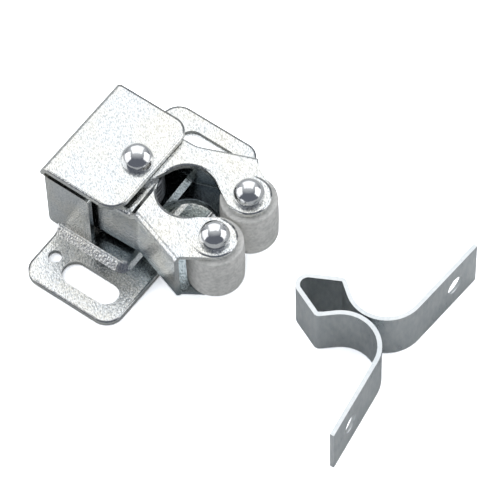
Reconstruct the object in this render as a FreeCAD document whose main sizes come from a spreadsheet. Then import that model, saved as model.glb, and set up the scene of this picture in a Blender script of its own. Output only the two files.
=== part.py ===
import FreeCAD, Part
import math
import os
import Sketcher

V = FreeCAD.Vector

# Driving sizes, in millimetres and degrees. The pivot axis stands on the origin, the rollers
# face -Y, and the undersides of the mounting ears lie on z = 0.

ear_span = 44.5  # width over both mounting ears
ear_front = 10.2  # front edge of the ears, before the pivot
ear_back = 9.4  # back edge of the ears, behind the pivot
ear_corner = 3.3  # corner radius of the ears
front_run = 0.9  # length of the ramp before the deck
base_corner = 2.2  # corner radius of the raised deck, at its foot
case_sheet = 0.9  # sheet thickness of the housing
ramp_foot = 12.5  # where the ramp leaves the ear, from the middle
ramp_head = 11.1  # where the ramp meets the deck, from the middle
deck_top = 2.2  # top of the raised deck
case_width = 21.72  # width of the housing's box
case_back = 12.8  # outer face of the back wall, behind the pivot
case_bend = 1.6  # outer radius of the housing's bends
ramp_bend = 1.2  # outer radius of the bends beside the ears
plate_top = 17.15  # top of the top plate
plate_front = 3.6  # front edge of the top plate, before the pivot
plate_corner = 3.3  # corner radius of the top plate
deck_front = 4.9  # front edge of the deck, before the pivot
boss_rim = 3.4  # top radius of the pressed pivot boss
boss_flare = 1.0  # how much wider the pressed boss is at its foot
boss_round = 0.4  # radius of the pressed boss at its top
wing_front = 2.5  # front edge of the side wings, behind the pivot
wing_top = 15.0  # top edge of the side wings
wing_lift = 0.15  # gap between the wings and the deck
wing_round = 0.6  # radius of the wings' lower front corner
wing_crest = 0.9  # radius of the wings' upper front corner
wing_nick = 0.2  # radii of the step in the wings' lower edge
heel_gap = 0.3  # gap between the deck and the lowest part of the wings
heel_lift = 0.1  # height of the wings' lowest part over the deck's underside
relief = 0.05  # free height between a cut and the bend beside it
slot_shift = 0.575  # middle of the mounting slot, inward of the ear's middle
slot_fore = 1.7  # middle of the mounting slot, before the pivot
slot_width = 4.72  # width of the mounting slot
slot_length = 11.4  # overall length of the mounting slot
pin_shift = 1.275  # middle of the small hole, inward of the ear's middle
pin_aft = 6.6  # middle of the small hole, behind the pivot
pin_bore = 2.44  # diameter of the small hole
cut_margin = 2.0  # how far a cut runs past the sheet

arm_sheet = 0.9  # sheet thickness of the arms
arm_lift = 1.8  # height of the arms over the deck
arm_play = 0.2  # play between the arms and the top plate
leaf_play = 0.05  # play between two leaves, and under the arms
wall_side = 9.0  # outer face of an arm's tail, from the middle
tail_back = 8.0  # back end of an arm's tail, behind the pivot
tail_height = 7.4  # height of an arm's tail tongue
tongue_round = 0.8  # inner corner radius beside the tail's tongue
tongue_step = 0.6  # from the leaf's back edge to the tongue
flare_start = 6.2  # where an arm's wall turns outward, before the pivot
flare_side = 12.7  # front end of an arm's wall, from the middle
flare_short = 3.15  # from the front end of an arm's wall to its roller's axis, along Y
flare_bend = 3.0  # radius of the turn in an arm's wall
arm_bend = 1.25  # outer radius of the bends along an arm's wall
leaf_boss = 4.0  # radius of a leaf around the pivot
leaf_back = 4.0  # straight back edge of a leaf, behind the pivot
eye_radius = 5.25  # radius of the round pocket for the striker's head
eye_neck = 0.95  # from the round pocket to the leaf's round end at the pivot
lobe_radius = 4.0  # radius of a leaf around its roller's rivet
joggle_start = 5.5  # front line of the set-down, before the pivot
joggle_run = 1.0  # length of the set-down's slope
wall_spare = 9.0  # length of wall that is swept past its front end and cut off
blank_reach = 40.0  # how far the arm's outline cut runs past the arm
swing_angle = 2.0  # swing of the closed pair of arms about the pivot

roller_side = 5.15  # axis of a roller, from the middle
roller_reach = 9.3  # axis of a roller, before the pocket's middle
roller_radius = 5.08  # radius of a roller at its middle
roller_crown = 0.08  # how much smaller a roller is at its ends
roller_round = 0.35  # edge radius of a roller
roller_play = 0.1  # play between a roller and each leaf
bore_play = 0.05  # radial play of a roller on its rivet
rivet_shank = 1.5  # shank radius of a roller's rivet
rivet_head = 2.78  # head radius of a roller's rivet
rivet_collar = 0.35  # straight rim of a roller rivet's head
rivet_foot = 2.4  # radius of the closed end of a roller's rivet
foot_height = 0.9  # height of the closed ends of the rivets
foot_round = 0.3  # edge radius of the closed ends of the rivets
pivot_shank = 1.8  # shank radius of the pivot rivet
pivot_play = 0.05  # radial play of the arms on the pivot rivet
pivot_head = 2.93  # head radius of the pivot rivet
pivot_collar = 0.12  # straight rim of the pivot rivet's head
pivot_foot = 2.3  # radius of the closed end of the pivot rivet

wire = 1.2  # wire diameter of the closing spring
coil_radius = 3.9  # mean radius of the closing spring
coil_pitch = 1.25  # pitch of the closing spring
coil_count = 4  # whole turns of the closing spring
spring_reach = 7.2  # where the spring's legs end, behind the pivot
spring_touch = 0.02  # play between the spring's legs and the tails

strike_sheet = 0.8  # thickness of the striker's strip
strike_height = 10.67  # width of the striker's strip, which stands on edge
strike_span = 44.6  # width over the striker's feet
nose_radius = 2.2  # outer radius of the striker's nose
nose_angle = 25.5  # half angle of the striker's head
shoulder_radius = 1.1  # outer radius of the striker's shoulders
back_angle = 40.0  # angle of the flank behind the striker's shoulders
neck_half = 0.95  # half the width of the striker's neck
neck_depth = 13.4  # depth of the striker's neck behind its nose
neck_radius = 6.2  # outer radius of the curve from neck to foot
foot_angle = 6.0  # angle by which the striker's feet lie back
screw_inset = 6.0  # striker's screw hole, from the end of the foot
screw_bore = 3.6  # diameter of the striker's screw holes
screw_sink = 4.9  # diameter of the countersinks in the striker
strike_fore = 33.8  # striker's nose, before the pivot
strike_side = 0.17  # striker's nose, left of the middle
strike_angle = 2.3  # turn of the striker about its nose


doc = FreeCAD.newDocument("double_roller_catch")
sheet = doc.addObject("Spreadsheet::Sheet", "sizes")
sizes = {name: value for name, value in globals().items() if isinstance(value, (int, float))}
for row, (name, value) in enumerate(sizes.items()):
    sheet.set("A%d" % (row + 1), name)
    sheet.set("B%d" % (row + 1), "%.9g" % value)
    sheet.setAlias("B%d" % (row + 1), name)
doc.recompute()


def seen(expression):
    return expression.replace("@", "sizes.")


def bodyOf(name):
    made = doc.addObject("PartDesign::Body", name)
    made.Label = name
    return made


def sketchOn(made, name, role, offset=0.0):
    plane = [entry for entry in made.Origin.OriginFeatures if entry.Role == role][0]
    sketch = made.newObject("Sketcher::SketchObject", name)
    sketch.AttachmentSupport = [(plane, "")]
    sketch.MapMode = "FlatFace"
    sketch.AttachmentOffset = FreeCAD.Placement(V(0, 0, offset), FreeCAD.Rotation())
    return sketch


def drawChain(sketch, start, steps, closed=True):
    # A step is the end of a line, or the middle and the end of an arc.
    here = start
    for step in steps:
        if isinstance(step[0], tuple):
            middle, end = step
            shape = Part.Arc(V(here[0], here[1], 0), V(middle[0], middle[1], 0), V(end[0], end[1], 0))
        else:
            end = step
            shape = Part.LineSegment(V(here[0], here[1], 0), V(end[0], end[1], 0))
        sketch.addGeometry(shape, False)
        here = end
    if closed and math.dist(here, start) > 1e-7:
        sketch.addGeometry(Part.LineSegment(V(here[0], here[1], 0), V(start[0], start[1], 0)), False)


def rounded(corners):
    # Corners are x, y and a radius; the answer is the start and the steps of a closed chain.
    count = len(corners)
    pieces = []
    for i, (x, y, radius) in enumerate(corners):
        ax, ay = corners[i - 1][:2]
        bx, by = corners[(i + 1) % count][:2]
        if radius <= 0:
            pieces.append(((x, y), None, (x, y)))
            continue
        inA = math.dist((ax, ay), (x, y))
        inB = math.dist((bx, by), (x, y))
        u = ((ax - x) / inA, (ay - y) / inA)
        w = ((bx - x) / inB, (by - y) / inB)
        half = math.acos(max(-1, min(1, u[0] * w[0] + u[1] * w[1]))) / 2
        back = radius / math.tan(half)
        reach = radius / math.sin(half)
        m = (u[0] + w[0], u[1] + w[1])
        long = math.hypot(m[0], m[1])
        centre = (x + m[0] / long * reach, y + m[1] / long * reach)
        middle = (centre[0] - m[0] / long * radius, centre[1] - m[1] / long * radius)
        begin = (x + u[0] * back, y + u[1] * back)
        finish = (x + w[0] * back, y + w[1] * back)
        pieces.append((begin, middle, finish))
    start = pieces[0][2]
    steps = []
    for begin, middle, finish in pieces[1:] + pieces[:1]:
        steps.append(begin)
        if middle:
            steps.append((middle, finish))
    return start, steps


def drawRounded(sketch, corners):
    start, steps = rounded(corners)
    drawChain(sketch, start, steps)


def drawHole(sketch, x, y, radius):
    # x, y and radius are expressions over the sheet, each with its value.
    circle = Part.Circle(V(x[1], y[1], 0), V(0, 0, 1), radius[1])
    number = sketch.addGeometry(circle, False)
    across = sketch.addConstraint(Sketcher.Constraint("DistanceX", -1, 1, number, 3, x[1]))
    along = sketch.addConstraint(Sketcher.Constraint("DistanceY", -1, 1, number, 3, y[1]))
    wide = sketch.addConstraint(Sketcher.Constraint("Radius", number, radius[1]))
    sketch.setExpression("Constraints[%d]" % across, seen(x[0]))
    sketch.setExpression("Constraints[%d]" % along, seen(y[0]))
    sketch.setExpression("Constraints[%d]" % wide, seen(radius[0]))


def padOf(made, sketch, name, length, reverse=False, both=False):
    pad = made.newObject("PartDesign::Pad", name)
    pad.Profile = sketch
    pad.Reversed = reverse
    pad.SideType = "Symmetric" if both else "One side"
    pad.setExpression("Length", seen(length))
    doc.recompute()
    return pad


def pocketOf(made, sketch, name, length, reverse=False, both=False):
    before = made.Shape.Volume
    pocket = made.newObject("PartDesign::Pocket", name)
    pocket.Profile = sketch
    pocket.Reversed = reverse
    pocket.SideType = "Symmetric" if both else "One side"
    pocket.setExpression("Length", seen(length))
    doc.recompute()
    if made.Shape.Volume > before - 0.01:
        raise RuntimeError(name + " cuts nothing")
    return pocket


def turned(made, name, corners):
    # A ring or a shaft about Z; corners are radius, height and corner radius.
    sketch = sketchOn(made, name + "_profile", "XZ_Plane")
    drawRounded(sketch, corners)
    turn = made.newObject("PartDesign::Revolution", name)
    turn.Profile = sketch
    turn.ReferenceAxis = (sketch, ["V_Axis"])
    turn.Angle = 360
    doc.recompute()
    return turn


def onCircle(centre, radius, angle):
    return (centre[0] + radius * math.cos(angle), centre[1] + radius * math.sin(angle))


# Heights and places that follow from the driving sizes.

plateUnder = plate_top - case_sheet
deckUnder = deck_top - case_sheet
armBottom = deck_top + arm_lift
armTop = plateUnder - arm_play
armMiddle = (armBottom + armTop) / 2
joggle = arm_sheet + leaf_play
eyeFore = leaf_boss + eye_radius + eye_neck
rollerFore = eyeFore + roller_reach
flareFront = rollerFore - flare_short
earMiddle = (ear_span / 2 + ramp_foot) / 2
swing = math.radians(swing_angle)


# Housing: one sheet with two ears joined by a front flange, a raised deck, a back wall, two
# wings and a top plate.

housing = bodyOf("housing")
half = case_width / 2
inner = case_bend - case_sheet
low = deckUnder
high = plate_top

base = sketchOn(housing, "base_outline", "XY_Plane")
drawRounded(base, [
    (-ear_span / 2, -ear_front, ear_corner),
    (ear_span / 2, -ear_front, ear_corner),
    (ear_span / 2, ear_back, ear_corner),
    (-ear_span / 2, ear_back, ear_corner),
])
padOf(housing, base, "base_plate", "@case_sheet")

rampRun = ramp_foot - ramp_head
shift = case_sheet * math.tan(math.atan2(deck_top - case_sheet, rampRun) / 2)


def deckOutline(name, level, side, front, corner, back):
    outline = sketchOn(housing, name, "XY_Plane", level)
    drawRounded(outline, [
        (-side, -front, corner),
        (side, -front, corner),
        (side, back, 0),
        (-side, back, 0),
    ])
    return outline


deckCorner = base_corner - front_run
frontFoot = deck_front + front_run
frontShift = case_sheet * math.tan(math.atan2(deck_top - case_sheet, front_run) / 2)
foot = deckOutline("ramp_foot_line", case_sheet, ramp_foot, frontFoot, base_corner, ear_back)
head = deckOutline("ramp_head_line", deck_top, ramp_head, deck_front, deckCorner, ear_back)
raised = housing.newObject("PartDesign::AdditiveLoft", "raised_deck")
raised.Profile = foot
raised.Sections = [head]
raised.Ruled = True
doc.recompute()

past = ear_back + cut_margin
foot = deckOutline("under_foot_line", 0, ramp_foot - shift, frontFoot - frontShift, base_corner - shift, past)
head = deckOutline("under_head_line", low, ramp_head - shift, deck_front - frontShift,
                   deckCorner - shift, past)
volume = housing.Shape.Volume
under = housing.newObject("PartDesign::SubtractiveLoft", "deck_hollow")
under.Profile = foot
under.Sections = [head]
under.Ruled = True
doc.recompute()
if housing.Shape.Volume > volume - 1:
    raise RuntimeError("the deck isn't hollow")


def bendEdges(level, side, front):
    # The edges of the deck's outline at one height, without its open back.
    found = []
    for index, edge in enumerate(housing.Shape.Edges):
        box = edge.BoundBox
        flat = max(abs(box.ZMin - level), abs(box.ZMax - level)) < 0.001
        within = max(box.XMax, -box.XMin) < side + 0.001 and -box.YMin < front + 0.001
        if flat and within and box.YMin < ear_back - 0.001:
            found.append("Edge%d" % (index + 1))
    return found


outer = bendEdges(deck_top, ramp_head, deck_front) + bendEdges(0, ramp_foot - shift, frontFoot - frontShift)
bends = housing.newObject("PartDesign::Fillet", "deck_bends")
bends.Base = (under, outer)
bends.setExpression("Radius", seen("@ramp_bend * 1 mm"))
doc.recompute()

side = sketchOn(housing, "case_side", "YZ_Plane")
foldStart = deckCorner - deck_front
drawRounded(side, [
    (foldStart, low, 0),
    (case_back, low, case_bend),
    (case_back, high, case_bend),
    (-plate_front, high, 0),
    (-plate_front, high - case_sheet, 0),
    (case_back - case_sheet, high - case_sheet, inner),
    (case_back - case_sheet, low + case_sheet, inner),
    (foldStart, low + case_sheet, 0),
])
padOf(housing, side, "case_fold", "@case_width", both=True)

# The deck stops short of the back corners, where the wings reach further down.
heelStart = ear_back + heel_gap
heelSide = half - case_bend - heel_gap
heel = sketchOn(housing, "heel_cuts", "XY_Plane")
for sign in (-1, 1):
    drawRounded(heel, [
        (sign * heelSide, heelStart, 0),
        (sign * (half + cut_margin), heelStart, 0),
        (sign * (half + cut_margin), case_back + cut_margin, 0),
        (sign * heelSide, case_back + cut_margin, 0),
    ])
pocketOf(housing, heel, "rear_corners", "2 * (@deck_top - @case_sheet + @case_bend + @relief)", both=True)

notch = sketchOn(housing, "wall_notches", "XZ_Plane")
wallLow = low + case_bend + relief
wallHigh = wing_top + relief
for sign in (-1, 1):
    drawRounded(notch, [
        (sign * (half - case_bend), wallLow, 0),
        (sign * (half + cut_margin), wallLow, 0),
        (sign * (half + cut_margin), wallHigh, 0),
        (sign * (half - case_bend), wallHigh, 0),
    ])
pocketOf(housing, notch, "wall_sides", "@case_back * 3", both=True)

wingDrop = low + heel_lift
corner = sketchOn(housing, "wing_corners", "XY_Plane", wingDrop)
lean = math.radians(45)
for sign in (-1, 1):
    middle = (sign * (half - case_bend), case_back - case_bend)
    drawChain(corner, (middle[0], case_back), [
        ((middle[0] + sign * case_bend * math.cos(lean), middle[1] + case_bend * math.sin(lean)),
         (sign * half, middle[1])),
        (sign * (half - case_sheet), middle[1]),
        ((middle[0] + sign * inner * math.cos(lean), middle[1] + inner * math.sin(lean)),
         (middle[0], case_back - case_sheet)),
    ])
padOf(housing, corner, "wing_bends", "@wing_top - @deck_top + @case_sheet - @heel_lift")

wingLow = deck_top + wing_lift
for sign, name in ((-1, "left"), (1, "right")):
    start = half - case_sheet if sign > 0 else -half
    wing = sketchOn(housing, name + "_wing_side", "YZ_Plane", start)
    drawRounded(wing, [
        (wing_front, wingLow, wing_round),
        (heelStart + heel_gap, wingLow, wing_nick),
        (heelStart + heel_gap, wingDrop, wing_nick),
        (case_back - case_bend, wingDrop, 0),
        (case_back - case_bend, wing_top, 0),
        (wing_front, wing_top, wing_crest),
    ])
    padOf(housing, wing, name + "_wing", "@case_sheet")

# Rounded front corners of the top plate.
trim = sketchOn(housing, "plate_corners", "XY_Plane", plate_top)
for sign in (-1, 1):
    x = sign * half
    y = -plate_front
    r = plate_corner
    centre = (x - sign * r, y + r)
    drawChain(trim, (x - sign * r, y), [
        ((centre[0] + sign * r * math.cos(math.pi / 4), centre[1] - r * math.sin(math.pi / 4)), (x, y + r)),
        (x + sign * cut_margin, y + r),
        (x + sign * cut_margin, y - cut_margin),
        (x - sign * r, y - cut_margin),
    ])
pocketOf(housing, trim, "plate_rounding", "@case_sheet * 3", both=True)

# Pressed boss that carries the arms, hollow beneath.
boss = turned(housing, "boss", [
    (0, low + heel_lift, 0),
    (boss_rim + boss_flare, low + heel_lift, 0),
    (boss_rim + boss_flare, deck_top, 0),
    (boss_rim, armBottom - leaf_play, boss_round),
    (0, armBottom - leaf_play, 0),
])
hollow = sketchOn(housing, "boss_hollow_profile", "XZ_Plane")
bossIn = boss_rim - case_sheet + heel_lift
bossHigh = armBottom - leaf_play - case_sheet
drawRounded(hollow, [
    (0, -cut_margin, 0),
    (bossIn + boss_flare, -cut_margin, 0),
    (bossIn + boss_flare, low, 0),
    (bossIn, bossHigh, boss_round / 2),
    (0, bossHigh, 0),
])
groove = housing.newObject("PartDesign::Groove", "boss_hollow")
volume = housing.Shape.Volume
groove.Profile = hollow
groove.ReferenceAxis = (hollow, ["V_Axis"])
groove.Angle = 360
doc.recompute()
if housing.Shape.Volume > volume - 0.1:
    raise RuntimeError("the boss isn't hollow")

holes = sketchOn(housing, "holes", "XY_Plane")
drawHole(holes, ("0 mm", 0), ("0 mm", 0), ("@pivot_shank * 1 mm", pivot_shank))
pinSideSeen = "((@ear_span / 2 + @ramp_foot) / 2 - @pin_shift)"
for sign in (-1, 1):
    x = sign * (earMiddle - pin_shift)
    drawHole(holes, ("%s * %d mm" % (pinSideSeen, sign), x), ("@pin_aft * 1 mm", pin_aft),
             ("@pin_bore * 0.5 mm", pin_bore / 2))
    r = slot_width / 2
    reach = slot_length / 2 - r
    x = sign * (earMiddle - slot_shift)
    y = -slot_fore
    drawChain(holes, (x - r, y - reach), [
        ((x, y - reach - r), (x + r, y - reach)),
        (x + r, y + reach),
        ((x, y + reach + r), (x - r, y + reach)),
    ])
pocketOf(housing, holes, "hole_cuts", "@plate_top * 3", both=True)


# Arms: one stamping, used twice. The right arm has its upper leaf flat and its lower leaf set
# up by one thickness behind the joggle; the left arm is the same stamping turned over.

def crossTangent(first, firstRadius, second, secondRadius, sign):
    # Unit normal, as an angle, of the line that crosses between two circles.
    away = math.atan2(second[1] - first[1], second[0] - first[0])
    return away + sign * math.acos((firstRadius + secondRadius) / math.dist(first, second))


def channelSection(sketch, lift):
    t = arm_sheet
    r = arm_bend
    x = wall_side
    reach = -(leaf_boss + cut_margin)
    drawRounded(sketch, [
        (reach, armTop, 0),
        (x, armTop, r),
        (x, armBottom + lift, r),
        (reach, armBottom + lift, 0),
        (reach, armBottom + lift + t, 0),
        (x - t, armBottom + lift + t, r - t),
        (x - t, armTop - t, r - t),
        (reach, armTop - t, 0),
    ])


rollerForeSeen = "(@leaf_boss + @eye_radius + @eye_neck + @roller_reach)"


def makeArm(name):
    arm = bodyOf(name)
    turnAt = (wall_side, -flare_start)
    cornerAt = (flare_side, -flareFront)
    angle = math.atan2(cornerAt[0] - turnAt[0], turnAt[1] - cornerAt[1])
    along = (math.sin(angle), -math.cos(angle))
    outward = (math.cos(angle), math.sin(angle))
    start = -joggle_start
    rear = start + joggle_run

    section = sketchOn(arm, name + "_front_section", "XZ_Plane", -start)
    channelSection(section, 0)
    path = sketchOn(arm, name + "_wall_line", "XY_Plane")
    back = flare_bend * math.tan(angle / 2)
    bendIn = (turnAt[0], turnAt[1] + back)
    bendOut = (turnAt[0] + along[0] * back, turnAt[1] + along[1] * back)
    centre = (turnAt[0] + flare_bend, bendIn[1])
    bendMid = onCircle(centre, flare_bend, math.pi + angle / 2)
    tip = (cornerAt[0] + along[0] * wall_spare, cornerAt[1] + along[1] * wall_spare)
    steps = [bendIn, (bendMid, bendOut), tip]
    drawChain(path, (turnAt[0], start), steps, closed=False)
    pipe = arm.newObject("PartDesign::AdditivePipe", name + "_flared_wall")
    pipe.Profile = section
    pipe.Spine = (path, ["Edge1", "Edge2", "Edge3"])
    doc.recompute()

    joggled = sketchOn(arm, name + "_rear_section", "XZ_Plane", -rear)
    channelSection(joggled, joggle)
    front = sketchOn(arm, name + "_joggle_section", "XZ_Plane", -start)
    channelSection(front, 0)
    loft = arm.newObject("PartDesign::AdditiveLoft", name + "_joggle")
    loft.Profile = front
    loft.Sections = [joggled]
    loft.Ruled = True
    doc.recompute()

    tail = sketchOn(arm, name + "_tail_section", "XZ_Plane", -rear)
    channelSection(tail, joggle)
    padOf(arm, tail, name + "_tail", "@tail_back + @joggle_start - @joggle_run", reverse=True)

    # Plan outline of the leaves and of the wall's ends.
    pivot = (0, 0)
    eye = (0, -eyeFore)
    lobe = (roller_side, -rollerFore)
    bendLine = (cornerAt[0] - outward[0] * arm_bend, cornerAt[1] - outward[1] * arm_bend)
    toBend = math.atan2(bendLine[1] - lobe[1], bendLine[0] - lobe[0])
    frontAngle = toBend - math.acos(lobe_radius / math.dist(bendLine, lobe))
    lobeAngle = crossTangent(lobe, lobe_radius, eye, eye_radius, 1) - 2 * math.pi
    eyeLow = lobeAngle + math.pi
    bossAngle = crossTangent(pivot, leaf_boss, eye, eye_radius, -1)
    eyeHigh = bossAngle + math.pi
    bossEnd = -1.5 * math.pi
    outline = [
        (turnAt[0] + cut_margin, turnAt[1]),
        (cornerAt[0] + outward[0] * cut_margin, cornerAt[1] + outward[1] * cut_margin),
        bendLine,
        onCircle(lobe, lobe_radius, frontAngle),
        (onCircle(lobe, lobe_radius, (frontAngle + lobeAngle) / 2),
         onCircle(lobe, lobe_radius, lobeAngle)),
        onCircle(eye, eye_radius, eyeLow),
        (onCircle(eye, eye_radius, (eyeLow + eyeHigh) / 2),
         onCircle(eye, eye_radius, eyeHigh)),
        onCircle(pivot, leaf_boss, bossAngle),
        (onCircle(pivot, leaf_boss, (bossAngle + bossEnd) / 2),
         onCircle(pivot, leaf_boss, bossEnd)),
        (wall_side - arm_bend, leaf_back),
        (wall_side - arm_bend, tail_back),
    ]
    blank = sketchOn(arm, name + "_outline", "XY_Plane", armMiddle)
    drawChain(blank, (turnAt[0] + cut_margin, tail_back), outline)
    far = blank_reach + flareFront
    drawRounded(blank, [(-far, -far, 0), (far, -far, 0), (far, far, 0), (-far, far, 0)])
    pocketOf(arm, blank, name + "_blank", "@plate_top * 3", both=True)

    tongue = sketchOn(arm, name + "_tongue_side", "YZ_Plane")
    above = armMiddle + tail_height / 2
    below = armMiddle - tail_height / 2
    start = leaf_back + tongue_step
    far = tail_back + cut_margin
    drawRounded(tongue, [(start, above, tongue_round), (far, above, 0), (far, armTop + cut_margin, 0),
                         (start, armTop + cut_margin, 0)])
    drawRounded(tongue, [(start, below, tongue_round), (far, below, 0), (far, armBottom - cut_margin, 0),
                         (start, armBottom - cut_margin, 0)])
    pocketOf(arm, tongue, name + "_tongue", "@ear_span", both=True)

    holes = sketchOn(arm, name + "_holes", "XY_Plane", armMiddle)
    drawHole(holes, ("0 mm", 0), ("0 mm", 0),
             ("(@pivot_shank + @pivot_play) * 1 mm", pivot_shank + pivot_play))
    drawHole(holes, ("@roller_side * 1 mm", roller_side), (rollerForeSeen + " * -1 mm", -rollerFore),
             ("@rivet_shank * 1 mm", rivet_shank))
    pocketOf(arm, holes, name + "_hole_cuts", "@plate_top * 3", both=True)
    return arm


rightArm = makeArm("right_arm")
atRest = FreeCAD.Placement(V(0, 0, 0), FreeCAD.Rotation(V(0, 0, 1), swing_angle))
rightArm.Placement = atRest
leftArm = makeArm("left_arm")
turnOver = FreeCAD.Placement(V(0, 0, 2 * armMiddle), FreeCAD.Rotation(V(0, 1, 0), 180))
leftArm.Placement = atRest.multiply(turnOver)


# Rollers and rivets.

def swung(x, y):
    return V(x * math.cos(swing) - y * math.sin(swing), x * math.sin(swing) + y * math.cos(swing), 0)


rollerLow = armBottom + arm_sheet + roller_play
rollerHigh = armTop - arm_sheet - roller_play


def makeRoller(name, sign):
    roller = bodyOf(name)
    sketch = sketchOn(roller, name + "_profile", "XZ_Plane")
    bore = rivet_shank + bore_play
    r = roller_radius
    end = r - roller_crown
    e = roller_round
    lean = math.radians(45)
    middle = (rollerLow + rollerHigh) / 2
    drawChain(sketch, (bore, rollerLow), [
        (end - e, rollerLow),
        ((end - e + e * math.sin(lean), rollerLow + e - e * math.cos(lean)), (end, rollerLow + e)),
        ((r, middle), (end, rollerHigh - e)),
        ((end - e + e * math.sin(lean), rollerHigh - e + e * math.cos(lean)), (end - e, rollerHigh)),
        (bore, rollerHigh),
    ])
    turn = roller.newObject("PartDesign::Revolution", name + "_turn")
    turn.Profile = sketch
    turn.ReferenceAxis = (sketch, ["V_Axis"])
    turn.Angle = 360
    doc.recompute()
    place = swung(sign * roller_side, -rollerFore)
    roller.Placement = FreeCAD.Placement(place, FreeCAD.Rotation())
    return roller


def makeRivet(name, place, shank, head, collar, foot, low, high):
    # Round head on the seat at height high, closed end under the seat at height low.
    rivet = bodyOf(name)
    sketch = sketchOn(rivet, name + "_profile", "XZ_Plane")
    lean = math.radians(45)
    end = low - foot_height
    drawChain(sketch, (0, end), [
        (foot - foot_round, end),
        ((foot - foot_round * (1 - math.sin(lean)), end + foot_round * (1 - math.cos(lean))),
         (foot, end + foot_round)),
        (foot, low),
        (shank, low),
        (shank, high),
        (head, high),
        (head, high + collar),
        ((head * math.cos(lean), high + collar + head * math.sin(lean)), (0, high + collar + head)),
    ])
    turn = rivet.newObject("PartDesign::Revolution", name + "_turn")
    turn.Profile = sketch
    turn.ReferenceAxis = (sketch, ["V_Axis"])
    turn.Angle = 360
    doc.recompute()
    rivet.Placement = FreeCAD.Placement(place, FreeCAD.Rotation())
    return rivet


for sign, side in ((-1, "left"), (1, "right")):
    makeRoller(side + "_roller", sign)
    place = swung(sign * roller_side, -rollerFore)
    makeRivet(side + "_roller_rivet", place, rivet_shank, rivet_head,
              rivet_collar, rivet_foot, armBottom, armTop)

makeRivet("pivot_rivet", V(0, 0, 0), pivot_shank, pivot_head, pivot_collar, pivot_foot,
          bossHigh, plate_top)


# Closing spring: close coils about the pivot rivet, and two legs that press the arms' tails apart.

wireRadius = wire / 2
coil = coil_radius
wallIn = wall_side - arm_sheet


def legTip():
    # The leg leans, so its end's outer edge is what meets the tail's inner face.
    lean = 0.0
    for turn in range(30):
        tipX = wallIn - spring_touch - wireRadius * math.cos(lean)
        lean = math.atan2(spring_reach, tipX)
        touch = lean - math.acos(coil / math.hypot(tipX, spring_reach))
        lean = -touch
    return (tipX, spring_reach), touch


legEnd, legAngle = legTip()
startAngle = math.pi - legAngle
coilLow = armMiddle - coil_pitch * coil_count / 2


def coilPoint(angle, height):
    return V(coil * math.cos(angle), coil * math.sin(angle), height)


def heading(angle):
    return V(-math.sin(angle), math.cos(angle), 0)


# Each half turn is an arc in a plane that leans by half a pitch, so the wire runs on smoothly.
legLong = math.dist(legEnd, onCircle((0, 0), coil, legAngle))
angle = startAngle
height = coilLow
legStart = coilPoint(angle, height) - heading(angle) * legLong
wireLine = [Part.makeLine(legStart, coilPoint(angle, height))]
for turn in range(2 * int(coil_count)):
    here = coilPoint(angle, height)
    there = coilPoint(angle + math.pi, height + coil_pitch / 2)
    bulge = (here + there) * 0.5 + heading(angle) * (there - here).Length * 0.5
    wireLine.append(Part.Arc(here, bulge, there).toShape())
    angle += math.pi
    height += coil_pitch / 2
last = legAngle + 2 * math.pi * math.ceil((angle - legAngle) / (2 * math.pi))
wireLine.append(Part.Arc(coilPoint(angle, height), coilPoint((angle + last) / 2, height),
                         coilPoint(last, height)).toShape())
wireLine.append(Part.makeLine(coilPoint(last, height), coilPoint(last, height) + heading(last) * legLong))
section = Part.Face(Part.Wire([Part.makeCircle(wireRadius, legStart, heading(startAngle))]))
spring = doc.addObject("Part::Feature", "closing_spring")
spring.Label = "closing_spring"
spring.Shape = Part.Wire(wireLine).makePipe(section)
spring.Placement = FreeCAD.Placement(V(0, 0, 0), FreeCAD.Rotation(V(0, 0, 1), swing_angle))


# Striker: one strip on edge, folded to an arrow-shaped head, a neck and two feet. The chain of
# lines and arcs is the middle of the strip; the nose is at its origin and the feet lie at -y.

t = strike_sheet
nose = nose_radius - t / 2
shoulder = shoulder_radius - t / 2
curve = neck_radius + t / 2
slant = math.radians(nose_angle)
sweep = math.radians(foot_angle)
noseAt = (0, -nose_radius)
curveAt = (neck_half + neck_radius, -neck_depth)
flankOut = (math.cos(slant), math.sin(slant))
flankDown = (math.sin(slant), -math.cos(slant))
flankFrom = (noseAt[0] + nose * flankOut[0], noseAt[1] + nose * flankOut[1])
insideFrom = (flankFrom[0] - flankOut[0] * shoulder, flankFrom[1] - flankOut[1] * shoulder)
back = math.radians(back_angle)
backOut = (math.cos(back), -math.sin(back))
apart = (curveAt[0] - insideFrom[0], curveAt[1] - insideFrom[1])
flank = (apart[0] * backOut[0] + apart[1] * backOut[1] - curve - shoulder) / math.sin(slant + back)
shoulderAt = (insideFrom[0] + flankDown[0] * flank, insideFrom[1] + flankDown[1] * flank)
curveStart = math.pi - back
curveEnd = 1.5 * math.pi - sweep
footFrom = onCircle(curveAt, curve, curveEnd)
footEnd = (strike_span / 2, 0)
footLong = (footEnd[0] - footFrom[0]) / math.cos(sweep)
footEnd = (footEnd[0], footFrom[1] - footLong * math.sin(sweep))

halfChain = [
    (onCircle(noseAt, nose, (math.pi / 2 + slant) / 2), flankFrom),
    (flankFrom[0] + flankDown[0] * flank, flankFrom[1] + flankDown[1] * flank),
    (onCircle(shoulderAt, shoulder, (slant - back) / 2), onCircle(shoulderAt, shoulder, -back)),
    onCircle(curveAt, curve, curveStart),
    (onCircle(curveAt, curve, (curveStart + curveEnd) / 2), footFrom),
    footEnd,
]


def mirrored(point):
    return (-point[0], point[1])


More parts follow.
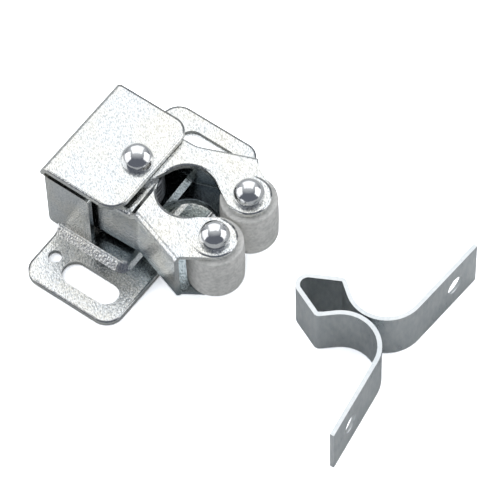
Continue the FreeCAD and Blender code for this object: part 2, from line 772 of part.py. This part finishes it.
strike = bodyOf("strike_strip")
line = sketchOn(strike, "strip_line", "XY_Plane")
ends = [(0, noseAt[1] + nose)]
for step in halfChain:
    ends.append(step[1] if isinstance(step[0], tuple) else step)
chain = []
for index in range(len(halfChain) - 1, 0, -1):
    step = halfChain[index]
    if isinstance(step[0], tuple):
        chain.append((mirrored(step[0]), mirrored(ends[index])))
    else:
        chain.append(mirrored(ends[index]))
chain.append(((0, noseAt[1] + nose), flankFrom))
chain += halfChain[1:]
drawChain(line, mirrored(footEnd), chain, closed=False)
doc.recompute()

strip = sketchOn(strike, "strip_section", "YZ_Plane", -strike_span / 2)
upright = t / 2 / math.cos(sweep)
drawRounded(strip, [
    (footEnd[1] - upright, 0, 0),
    (footEnd[1] + upright, 0, 0),
    (footEnd[1] + upright, strike_height, 0),
    (footEnd[1] - upright, strike_height, 0),
])
pipe = strike.newObject("PartDesign::AdditivePipe", "strip_fold")
pipe.Profile = strip
pipe.Spine = (line, ["Edge%d" % (i + 1) for i in range(len(chain))])
doc.recompute()

cutters = []
for sign, name in ((-1, "left"), (1, "right")):
    along = V(sign * math.cos(sweep), -math.sin(sweep), 0)
    out = V(sign * math.sin(sweep), math.cos(sweep), 0)
    at = V(sign * footEnd[0], footEnd[1], strike_height / 2) - along * screw_inset
    bore = doc.addObject("Part::Cylinder", name + "_screw_bore")
    bore.setExpression("Radius", seen("@screw_bore * 0.5 mm"))
    bore.Height = 2 * cut_margin
    outward = FreeCAD.Rotation(V(0, 0, 1), out)
    bore.Placement = FreeCAD.Placement(at - out * cut_margin, outward)
    sink = doc.addObject("Part::Cone", name + "_screw_sink")
    sink.setExpression("Radius1", seen("@screw_bore * 0.5 mm"))
    sink.setExpression("Radius2", seen("@screw_sink * 0.5 mm"))
    sink.Height = (screw_sink - screw_bore) / 2
    sink.Placement = FreeCAD.Placement(at + out * (t / 2 - sink.Height.Value), outward)
    cutters += [bore, sink]
screws = doc.addObject("Part::MultiFuse", "screw_cuts")
screws.Shapes = cutters
striker = doc.addObject("Part::Cut", "strike")
striker.Base = strike
striker.Tool = screws
striker.Label = "strike"
doc.recompute()
striker.Placement = FreeCAD.Placement(V(-strike_side, -strike_fore, 0),
                                      FreeCAD.Rotation(V(0, 0, 1), strike_angle))
doc.recompute()


# Check every object, then write one file for each separate piece.

nodes = ["housing", "left_arm", "right_arm", "left_roller", "right_roller", "left_roller_rivet",
         "right_roller_rivet", "pivot_rivet", "closing_spring", "strike"]
for item in doc.Objects:
    if "Invalid" in item.State or "Error" in item.State:
        raise RuntimeError("failed: " + item.Name)
os.makedirs("parts", exist_ok=True)
for name in nodes:
    shape = doc.getObject(name).Shape
    if shape.isNull() or not shape.isValid() or len(shape.Solids) != 1:
        raise RuntimeError("bad shape: %s, %d solids" % (name, len(shape.Solids)))
for name in nodes:
    doc.getObject(name).Shape.exportStep("parts/" + name + ".step")
print("pieces written:", len(nodes))
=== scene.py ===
import bpy
import math
from mathutils import Matrix, Vector


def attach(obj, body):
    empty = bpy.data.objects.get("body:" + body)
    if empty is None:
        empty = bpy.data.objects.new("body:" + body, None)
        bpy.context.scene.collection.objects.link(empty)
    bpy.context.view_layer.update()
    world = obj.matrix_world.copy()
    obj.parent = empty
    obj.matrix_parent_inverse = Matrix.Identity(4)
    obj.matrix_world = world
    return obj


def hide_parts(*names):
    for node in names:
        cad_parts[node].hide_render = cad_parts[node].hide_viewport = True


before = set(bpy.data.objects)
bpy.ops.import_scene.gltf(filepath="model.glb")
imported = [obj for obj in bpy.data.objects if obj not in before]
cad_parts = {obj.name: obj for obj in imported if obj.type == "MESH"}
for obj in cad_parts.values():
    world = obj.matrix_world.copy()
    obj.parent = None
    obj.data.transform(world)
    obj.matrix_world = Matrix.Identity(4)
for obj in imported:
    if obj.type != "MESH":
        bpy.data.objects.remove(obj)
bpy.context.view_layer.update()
print("frame loaded")


# Shader maths on sockets, so that a material reads as a formula.

class Graph:
    def __init__(self, tree):
        self.tree = tree

    def add(self, kind, settings, sockets, output=0):
        node = self.tree.nodes.new(kind)
        for name, value in settings.items():
            setattr(node, name, value)
        for name, value in sockets.items():
            if isinstance(value, Field):
                self.join(value, node.inputs[name])
            elif value is not None:
                node.inputs[name].default_value = value
        if isinstance(output, tuple):
            return [Field(self, node.outputs[name]) for name in output]
        return Field(self, node.outputs[output])

    def join(self, field, socket):
        self.tree.links.new(field.socket, socket)


class Field:
    def __init__(self, graph, socket):
        self.graph = graph
        self.socket = socket

    def maths(self, operation, other=None):
        return self.graph.add("ShaderNodeMath", dict(operation=operation), {0: self, 1: other})

    def __add__(self, other):
        return self.maths("ADD", other)

    def __sub__(self, other):
        return self.maths("SUBTRACT", other)

    def __rsub__(self, other):
        return self * -1 + other

    def __mul__(self, other):
        return self.maths("MULTIPLY", other)

    def __abs__(self):
        return self.maths("ABSOLUTE")

    def atLeast(self, other):
        return self.maths("MAXIMUM", other)

    def atMost(self, other):
        return self.maths("MINIMUM", other)

    def reach(self, other):
        return (self * self + other * other).maths("SQRT")

    def share(self, other, amount):
        return self * amount + other * (1 - amount)

    def ramp(self, low, high, band):
        sockets = {"Value": self, "From Min": band[0], "From Max": band[1], "To Min": low, "To Max": high}
        return self.graph.add("ShaderNodeMapRange", {}, sockets, "Result")

    def blend(self, first, second):
        ends = [end if isinstance(end, Field) else (*end, 1) for end in (first, second)]
        return self.graph.add("ShaderNodeMix", dict(data_type="RGBA"), {0: self, 6: ends[0], 7: ends[1]}, 2)


class Finish:
    def __init__(self, name, uniform):
        self.material = bpy.data.materials.new(name)
        self.material.use_nodes = True
        self.graph = Graph(self.material.node_tree)
        self.shader = self.graph.tree.nodes["Principled BSDF"]
        for socket, value in uniform.items():
            self.shader.inputs[socket].default_value = value
        self.place = self.graph.add("ShaderNodeTexCoord", {}, {}, "Object")

    def axes(self):
        return self.graph.add("ShaderNodeSeparateXYZ", {}, {0: self.place}, ("X", "Y", "Z"))

    def noise(self, scale, detail, stretch=(1, 1, 1), turn=0.0):
        sockets = {"Vector": self.place, "Scale": stretch, "Rotation": (0, 0, turn)}
        spread = self.graph.add("ShaderNodeMapping", dict(vector_type="TEXTURE"), sockets)
        return self.graph.add("ShaderNodeTexNoise", {}, {"Vector": spread, "Scale": scale, "Detail": detail})

    def feed(self, name, field):
        self.graph.join(field, self.shader.inputs[name])

    def roughen(self, field, settings):
        rough = field.ramp(settings["smoothest"], settings["roughest"], settings["roughBand"])
        self.feed("Roughness", rough)
        return rough

    def bump(self, height, strength=1.0, distance=1.0):
        sockets = {"Height": height, "Strength": strength, "Distance": distance}
        self.feed("Normal", self.graph.add("ShaderNodeBump", {}, sockets, "Normal"))


def dress(finish, *nodes):
    for name in nodes:
        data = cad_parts[name].data
        data.materials.clear()
        data.materials.append(finish.material)


# Bright zinc plate of the housing and the arms: crinkled skin, cool and warm patches,
# # and edges that the punch rolled over. On the arms, painted shade darkens the lower parts.

zincSettings = dict(
    peel=2300,  # noise scales are per metre
    peelDepth=0.00005,
    peelShare=0.7,
    stroke=5200,
    strokeStretch=(2.6, 1, 1),
    strokeTurn=0.89,
    strokeShare=0.7,
    patch=150,
    patchShare=0.6,
    skinBand=(0.38, 0.53),
    hueBand=(0.42, 0.58),
    coolDull=(0.54, 0.58, 0.60),
    warmDull=(0.64, 0.62, 0.56),
    coolClear=(0.94, 0.955, 0.96),
    warmClear=(0.975, 0.965, 0.915),
    # colours of the painted shade on the arms' lower parts, dark teal mottled by the skin noise
    paintedShadeDark=(0.24, 0.29, 0.31),
    paintedShadeLight=(0.46, 0.52, 0.54),
    smoothest=0.09,
    roughest=0.24,
    roughBand=(0.3, 0.7),
    rollWidth=0.0005,
    rollSteepness=1600,
)


def zincFinish(name, paintedShadeBand=None):
    look = zincSettings
    zinc = Finish(name, {"Metallic": 1.0})
    peel = zinc.noise(look["peel"], detail=4)
    stroke = zinc.noise(look["stroke"], 2, look["strokeStretch"], look["strokeTurn"])
    patch = zinc.noise(look["patch"], detail=3)
    skin = stroke.share(peel, look["strokeShare"]).ramp(0, 1, look["skinBand"])
    hue = patch.share(peel, look["patchShare"]).ramp(0, 1, look["hueBand"])
    dull = hue.blend(look["coolDull"], look["warmDull"])
    colour = skin.blend(dull, hue.blend(look["coolClear"], look["warmClear"]))
    # painted shade: below the band the arm's colour turns to the dark teal shade colours, darker towards the
    # bottom
    if paintedShadeBand:
        height = zinc.axes()[2].ramp(0, 1, paintedShadeBand)
        colour = height.blend(skin.blend(look["paintedShadeDark"], look["paintedShadeLight"]), colour)
    zinc.feed("Base Color", colour)
    rough = zinc.roughen(peel.share(patch, look["peelShare"]), look)
    return zinc, peel, rough


def rolled(depth):
    fall = (zincSettings["rollWidth"] - depth.atLeast(0)).atLeast(0)
    return fall * fall * -zincSettings["rollSteepness"]


def roundedDepth(x, y, sheet):
    across = abs(x - sheet["centre"][0]) - (sheet["half"][0] - sheet["corner"])
    along = abs(y - sheet["centre"][1]) - (sheet["half"][1] - sheet["corner"])
    outer = across.atLeast(0).reach(along.atLeast(0))
    return sheet["corner"] - outer - across.atLeast(along).atMost(0)


plateSettings = dict(centre=(0, 0.0082), half=(0.01086, 0.0118), corner=0.0033, above=0.0165)
earSettings = dict(centre=(0, -0.0004), half=(0.02225, 0.0098), corner=0.0033, below=0.0012, dulled=0.06)
zinc, peel, rough = zincFinish("bright_zinc")
x, y, z = zinc.axes()
onPlate = z.maths("GREATER_THAN", plateSettings["above"])
onEar = z.maths("LESS_THAN", earSettings["below"])
plateRoll = rolled(roundedDepth(x, y, plateSettings)) * onPlate
earRoll = rolled(roundedDepth(x, y, earSettings)) * onEar
zinc.feed("Roughness", rough + onEar * earSettings["dulled"])
zinc.bump(peel * zincSettings["peelDepth"] + plateRoll + earRoll)
dress(zinc, "housing")

armSettings = dict(
    left_arm=(-0.0044664, -0.0196679),  # middle of the round lobe over each roller
    right_arm=(0.0058274, -0.0193084),
    lobeRadius=0.004,
    lobeBand=0.0022,
    eye=(0.000356, -0.0101938),  # middle of the round pocket
    eyeRadius=0.00525,
    # heights in metres over which the painted shade on the arms fades out upwards
    paintedShadeBand=(0.0055, 0.0085),
)
for name in ("left_arm", "right_arm"):
    zinc, peel, rough = zincFinish("bright_zinc_" + name, armSettings["paintedShadeBand"])
    x, y, z = zinc.axes()
    lobe = armSettings[name]
    eye = armSettings["eye"]
    lobeDepth = armSettings["lobeRadius"] - (x - lobe[0]).reach(y - lobe[1])
    eyeDepth = (x - eye[0]).reach(y - eye[1]) - armSettings["eyeRadius"]
    ahead = y.ramp(1, 0, (lobe[1], lobe[1] + armSettings["lobeBand"]))
    zinc.bump(peel * zincSettings["peelDepth"] + rolled(lobeDepth) * ahead + rolled(eyeDepth))
    dress(zinc, name)

rivetSettings = dict(
    colour=(0.90, 0.905, 0.91, 1),
    dents=900,
    smoothest=0.06,
    roughest=0.18,
    roughBand=(0.35, 0.65),
    dentStrength=0.5,
    dentDepth=0.00006,
)
polished = Finish("polished_rivet", {"Base Color": rivetSettings["colour"], "Metallic": 1.0})
dents = polished.noise(rivetSettings["dents"], detail=3)
polished.roughen(dents, rivetSettings)
polished.bump(dents, rivetSettings["dentStrength"], rivetSettings["dentDepth"])
dress(polished, "pivot_rivet", "left_roller_rivet", "right_roller_rivet")

wireSettings = dict(
    colour=(0.26, 0.27, 0.29, 1),
    streak=1500,
    smoothest=0.3,
    roughest=0.5,
    roughBand=(0.3, 0.7),
    streakStrength=0.2,
    streakDepth=0.00003,
)
drawn = Finish("drawn_wire", {"Base Color": wireSettings["colour"], "Metallic": 1.0})
streak = drawn.noise(wireSettings["streak"], detail=3)
drawn.roughen(streak, wireSettings)
drawn.bump(streak, wireSettings["streakStrength"], wireSettings["streakDepth"])

# Closing spring in three pieces, so that each leg swings with its arm's tail as the coil winds up.

springSettings = dict(
    radius=0.0039,
    wire=0.0006,
    legWire=0.000594,  # a little thinner, so that its end hides inside the coil
    low=0.007525,
    pitch=0.00125,
    turns=4,
    touch=-0.424416,  # angle at which a leg leaves the coil
    legLong=0.0096633,
    overlap=0.42,
    swing=math.radians(2),
    sides=14,
    step=0.12,
    grab=1.02,  # a ring's vertices lie at 1.0 wire radii from its middle, and the next turn's past 1.08
    smoothBelow=math.radians(50),
)


def coilPlace(angle, height):
    turned = angle + springSettings["swing"]
    radius = springSettings["radius"]
    return Vector((radius * math.cos(turned), radius * math.sin(turned), height))


def coilHeading(angle):
    turned = angle + springSettings["swing"]
    return Vector((-math.sin(turned), math.cos(turned), 0))


def wireRing(name, angle, height, radius):
    bpy.ops.object.select_all(action="DESELECT")
    bpy.ops.mesh.primitive_circle_add(vertices=springSettings["sides"], radius=radius,
                                      location=coilPlace(angle, height),
                                      rotation=coilHeading(angle).to_track_quat("Z", "Y").to_euler())
    piece = bpy.context.object
    piece.name = name
    bpy.ops.object.transform_apply(location=True, rotation=True, scale=True)
    return piece


def wind(piece, angle, climb):
    screw = piece.modifiers.new("wind", "SCREW")
    screw.angle = angle
    screw.screw_offset = climb
    screw.steps = screw.render_steps = max(2, round(abs(angle) / springSettings["step"]))
    bpy.ops.object.modifier_apply(modifier=screw.name)


def selectRing(piece, centre, radius):
    bpy.ops.object.mode_set(mode="EDIT")
    bpy.ops.mesh.select_mode(type="VERT")
    bpy.ops.mesh.select_all(action="DESELECT")
    bpy.ops.object.mode_set(mode="OBJECT")
    for vertex in piece.data.vertices:
        vertex.select = (vertex.co - centre).length < radius * springSettings["grab"]
    bpy.ops.object.mode_set(mode="EDIT")


def closeWire(piece, body):
    bpy.ops.mesh.select_all(action="DESELECT")
    bpy.ops.mesh.select_non_manifold()
    bpy.ops.mesh.fill_holes(sides=0)
    bpy.ops.mesh.select_all(action="SELECT")
    bpy.ops.mesh.normals_make_consistent(inside=False)
    bpy.ops.object.mode_set(mode="OBJECT")
    bpy.ops.object.shade_smooth_by_angle(angle=springSettings["smoothBelow"])
    piece.data.materials.append(drawn.material)
    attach(piece, body)
    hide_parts("closing_spring")
    print(piece.name, "made of", len(piece.data.vertices), "vertices")


def springLeg(name, angle, height, turn, climb, body):
    radius = springSettings["legWire"]
    piece = wireRing(name, angle, height, radius)
    wind(piece, turn, climb)
    selectRing(piece, coilPlace(angle, height), radius)
    straight = coilHeading(angle) * math.copysign(springSettings["legLong"], -turn)
    bpy.ops.mesh.extrude_edges_move(TRANSFORM_OT_translate={"value": straight})
    closeWire(piece, body)


touch = springSettings["touch"]
low = springSettings["low"]
high = low + springSettings["pitch"] * springSettings["turns"]
firstAngle = math.pi - touch
fullAngle = firstAngle + 2 * math.pi * springSettings["turns"]
lastAngle = touch + 2 * math.pi * math.ceil((fullAngle - touch) / (2 * math.pi))
coil = wireRing("spring_coil", firstAngle, low, springSettings["wire"])
wind(coil, fullAngle - firstAngle, high - low)
selectRing(coil, coilPlace(fullAngle, high), springSettings["wire"])
flat = lastAngle - fullAngle  # the last part turn lies level
bpy.ops.mesh.spin(steps=round(flat / springSettings["step"]), angle=-flat, center=(0, 0, 0), axis=(0, 0, 1))
closeWire(coil, "housing")
overlap = springSettings["overlap"]
climb = springSettings["pitch"] * overlap / (2 * math.pi)
springLeg("spring_left_leg", firstAngle, low, overlap, climb, "left_arm")
springLeg("spring_right_leg", lastAngle, high, -overlap, 0, "right_arm")

rollerSettings = dict(
    grain=1500,
    grainShare=0.6,
    cloud=260,
    mottleBand=(0.38, 0.62),
    mottleDark=(0.60, 0.60, 0.575),
    mottleLight=(0.86, 0.85, 0.82),
    smoothest=0.45,
    roughest=0.65,
    roughBand=(0.3, 0.7),
    grainStrength=0.5,
    grainDepth=0.0001,
)
moulded = Finish("moulded_roller", {"Metallic": 0.0})
grain = moulded.noise(rollerSettings["grain"], detail=5)
cloud = moulded.noise(rollerSettings["cloud"], detail=4)
mottle = grain.share(cloud, rollerSettings["grainShare"]).ramp(0, 1, rollerSettings["mottleBand"])
moulded.feed("Base Color", mottle.blend(rollerSettings["mottleDark"], rollerSettings["mottleLight"]))
moulded.roughen(grain, rollerSettings)
moulded.bump(grain, rollerSettings["grainStrength"], rollerSettings["grainDepth"])
dress(moulded, "left_roller", "right_roller")

stripSettings = dict(
    rub=1400,
    rubStretch=(1, 1, 2.8),
    rubShare=0.6,
    wornShare=0.5,
    haze=110,
    hazeBand=(0.36, 0.62),
    hazeDark=(0.72, 0.76, 0.78),
    hazeLight=(0.92, 0.94, 0.94),
    smoothest=0.26,
    roughest=0.42,
    roughBand=(0.35, 0.65),
    rubStrength=0.3,
    rubDepth=0.00005,
)
satin = Finish("satin_strip", {"Metallic": 1.0})
rub = satin.noise(stripSettings["rub"], 4, stripSettings["rubStretch"])
haze = satin.noise(stripSettings["haze"], detail=3)
worn = rub.share(haze, stripSettings["wornShare"]).ramp(0, 1, stripSettings["hazeBand"])
satin.feed("Base Color", worn.blend(stripSettings["hazeDark"], stripSettings["hazeLight"]))
satin.roughen(rub.share(haze, stripSettings["rubShare"]), stripSettings)
satin.bump(rub, stripSettings["rubStrength"], stripSettings["rubDepth"])
dress(satin, "strike")
print("finishes made")


# Stage: a white floor and a surround that is brightest behind the part, with large soft lights.

floorSettings = dict(
    size=4.0,
    height=-0.0002,
    colour=(0.52, 0.53, 0.53, 1),
    roughness=0.9,
    shown=(3.2, 3.2, 3.2, 1),  # open floor shows white, and only the deep contact shadow is seen
)
bpy.ops.mesh.primitive_plane_add(size=floorSettings["size"], location=(0, 0, floorSettings["height"]))
floor = bpy.context.object
floor.name = "floor"
paint = Finish("pale_floor", {"Base Color": floorSettings["colour"], "Roughness": floorSettings["roughness"]})
toCamera = paint.graph.add("ShaderNodeLightPath", {}, {}, "Is Camera Ray")
lit = Field(paint.graph, paint.shader.outputs[0])
shown = paint.graph.add("ShaderNodeBsdfDiffuse", {}, {"Color": floorSettings["shown"]})
surface = paint.graph.add("ShaderNodeMixShader", {}, {0: toCamera, 1: lit, 2: shown})
paint.graph.join(surface, paint.graph.tree.nodes["Material Output"].inputs["Surface"])
floor.data.materials.append(paint.material)

worldSettings = dict(
    low=(0.12, 0.13, 0.155),
    high=(0.50, 0.52, 0.54),
    bright=(0.5, 0.37, 0.78),
    band=(0.3, 0.78),
    shown=(1, 1, 1, 1),
)
world = bpy.data.worlds.new("surround")
bpy.context.scene.world = world
world.use_nodes = True
graph = Graph(world.node_tree)
toward = graph.add("ShaderNodeTexCoord", {}, {}, "Generated")
sockets = {0: toward, 1: worldSettings["bright"]}
along = graph.add("ShaderNodeVectorMath", dict(operation="DOT_PRODUCT"), sockets, "Value")
glow = along.ramp(0, 1, worldSettings["band"]).blend(worldSettings["low"], worldSettings["high"])
room = graph.add("ShaderNodeBackground", {}, {"Color": glow})
white = graph.add("ShaderNodeBackground", {}, {"Color": worldSettings["shown"]})
toCamera = graph.add("ShaderNodeLightPath", {}, {}, "Is Camera Ray")
surround = graph.add("ShaderNodeMixShader", {}, {0: toCamera, 1: room, 2: white})
graph.join(surround, world.node_tree.nodes["World Output"].inputs["Surface"])

lightSettings = dict(
    target=Vector((0.0, -0.025, 0.008)),
    boxes=[
        dict(name="top_box", away=(0.52, 0.38, 0.76), far=0.8, size=(1.0, 1.0), power=2.05),
        dict(name="left_box", away=(-0.56, 0.81, 0.42), far=0.75, size=(0.7, 0.6), power=1.3),
        dict(name="right_box", away=(0.62, -0.79, 0.42), far=0.75, size=(0.7, 0.6), power=1.45),
        dict(name="fill_box", away=(-0.72, -0.5, 0.48), far=0.8, size=(0.8, 0.8), power=1.9),
    ],
    unmirrored=("fill_box",),
)
for box in lightSettings["boxes"]:
    data = bpy.data.lights.new(box["name"], "AREA")
    data.shape = "RECTANGLE"
    data.size, data.size_y = box["size"]
    data.energy = box["power"]
    lamp = bpy.data.objects.new(box["name"], data)
    lamp.visible_glossy = box["name"] not in lightSettings["unmirrored"]
    bpy.context.collection.objects.link(lamp)
    away = Vector(box["away"]).normalized()
    lamp.location = lightSettings["target"] + away * box["far"]
    lamp.rotation_euler = away.to_track_quat("Z", "Y").to_euler()

cameraSettings = dict(
    place=(-0.278241573, -0.240553299, 0.567399913),
    right=(0.5915048, -0.8060929, -0.0183398),
    up=(0.6871345, 0.4920525, 0.5345376),
    behind=(-0.4218628, -0.3287835, 0.8449457),
    lens=278.640567,
    sensor=36,
)
data = bpy.data.cameras.new("camera")
data.sensor_width = cameraSettings["sensor"]
data.lens = cameraSettings["lens"]
camera = bpy.data.objects.new("camera", data)
bpy.context.collection.objects.link(camera)
turn = Matrix((cameraSettings["right"], cameraSettings["up"], cameraSettings["behind"])).transposed()
camera.matrix_world = Matrix.Translation(cameraSettings["place"]) @ turn.to_4x4()
bpy.context.scene.camera = camera
bpy.context.scene.view_settings.view_transform = "Standard"
print("stage set")
